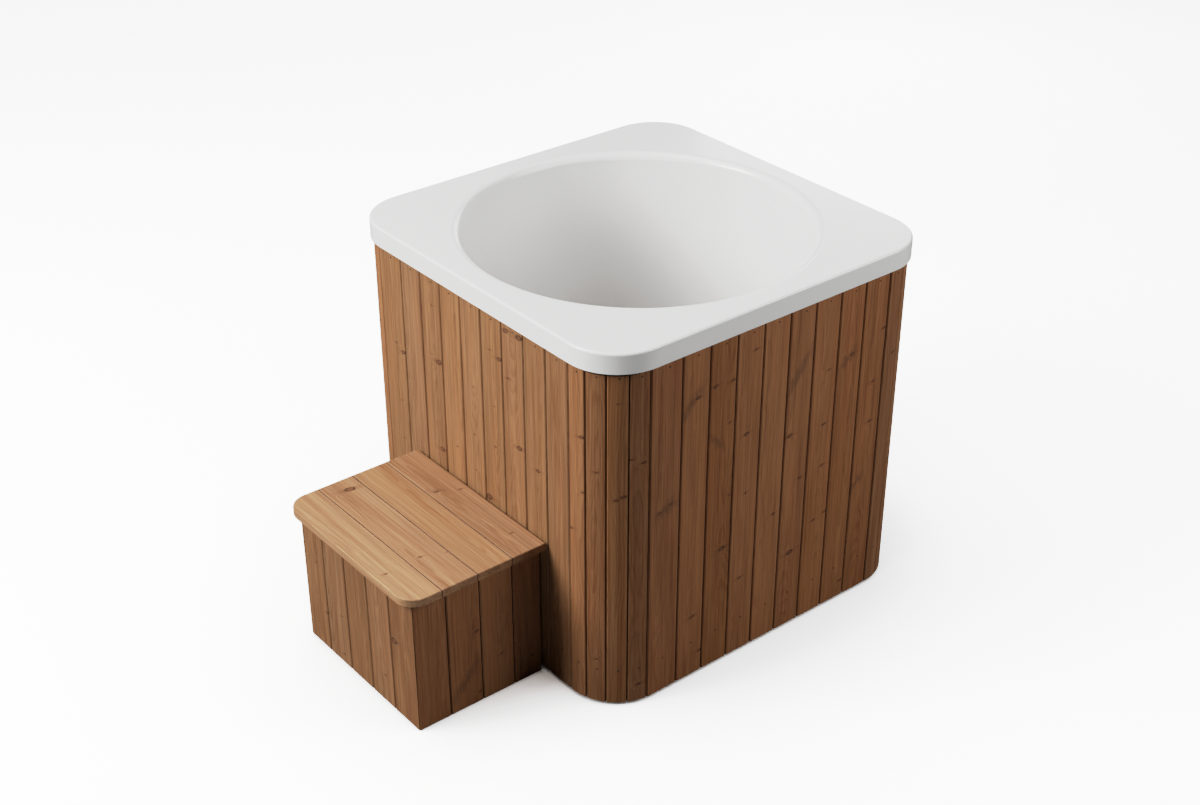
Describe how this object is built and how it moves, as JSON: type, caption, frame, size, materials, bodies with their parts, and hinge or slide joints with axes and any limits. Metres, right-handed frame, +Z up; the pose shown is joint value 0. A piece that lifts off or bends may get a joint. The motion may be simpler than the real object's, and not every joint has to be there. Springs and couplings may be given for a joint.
{
  "type": "cold plunge tub",
  "caption": "Square cold plunge tub with a moulded round basin in a rounded case of vertical boards, a bottom drain led to a rear ball valve, and a free-standing boarded step.",
  "frame": {"origin": "on the floor, at the underside of the middle rubber foot, under the middle of the tub's square deck", "axes": "+Z up; -Y towards the step in front, +Y towards the drain valve at the back; +X to the right of someone who faces the step"},
  "size_m": [1, 1.4945, 0.95],
  "materials": {
    "deck_plastic": "satin",
    "wall_wood": "matte",
    "step_wood": "matte",
    "frame_timber": "matte",
    "plywood": "matte",
    "foam": "matte",
    "rubber": "matte",
    "drain_steel": "satin",
    "lever_steel": "satin",
    "valve_brass": "satin",
    "seat_plastic": "satin",
    "pipe_plastic": "satin",
    "grip_plastic": "satin"
  },
  "bodies": {
    "tub": {"basin_shell": "deck_plastic", "foam_jacket": "foam", "floor_panel": "plywood", "front_bearer": "frame_timber", "middle_bearer": "frame_timber", "rear_bearer": "frame_timber", "rubber_feet": "rubber", "bottom_rails": "frame_timber", "bottom_formers": "plywood", "studs": "frame_timber", "top_rails": "frame_timber", "top_formers": "plywood", "front_boards": "wall_wood", "right_boards": "wall_wood", "back_boards": "wall_wood", "left_boards": "wall_wood", "front_right_staves": "wall_wood", "back_right_staves": "wall_wood", "back_left_staves": "wall_wood", "front_left_staves": "wall_wood", "drain_flange": "drain_steel", "drain_strainer": "drain_steel", "drain_gaskets": "rubber", "drain_locknut": "pipe_plastic", "drain_elbow": "pipe_plastic", "drain_pipe": "pipe_plastic", "pipe_collar": "drain_steel", "valve_body": "valve_brass", "valve_tailpiece": "valve_brass", "valve_seats": "seat_plastic"},
    "lever": {"valve_ball": "lever_steel", "valve_stem": "lever_steel", "valve_lever": "lever_steel", "lever_nut": "lever_steel", "lever_grip": "grip_plastic"},
    "step": {"step_tread": "step_wood", "step_front_boards": "step_wood", "step_left_boards": "step_wood", "step_right_boards": "step_wood", "step_posts": "frame_timber", "step_top_rails": "frame_timber", "step_bottom_rails": "frame_timber", "step_battens": "frame_timber", "step_glides": "rubber"}
  },
  "joints": [
    {"name": "valve_turn", "type": "hinge", "parent": "tub", "child": "lever", "pos_m": [0, 0.5485, 0.1], "axis": [0, 0, 1], "range_deg": [0, 90]},
    {"name": "step_slide", "type": "slide", "parent": "tub", "child": "step", "axis": [0, -1, 0], "range_m": [0, 0.6]}
  ]
}
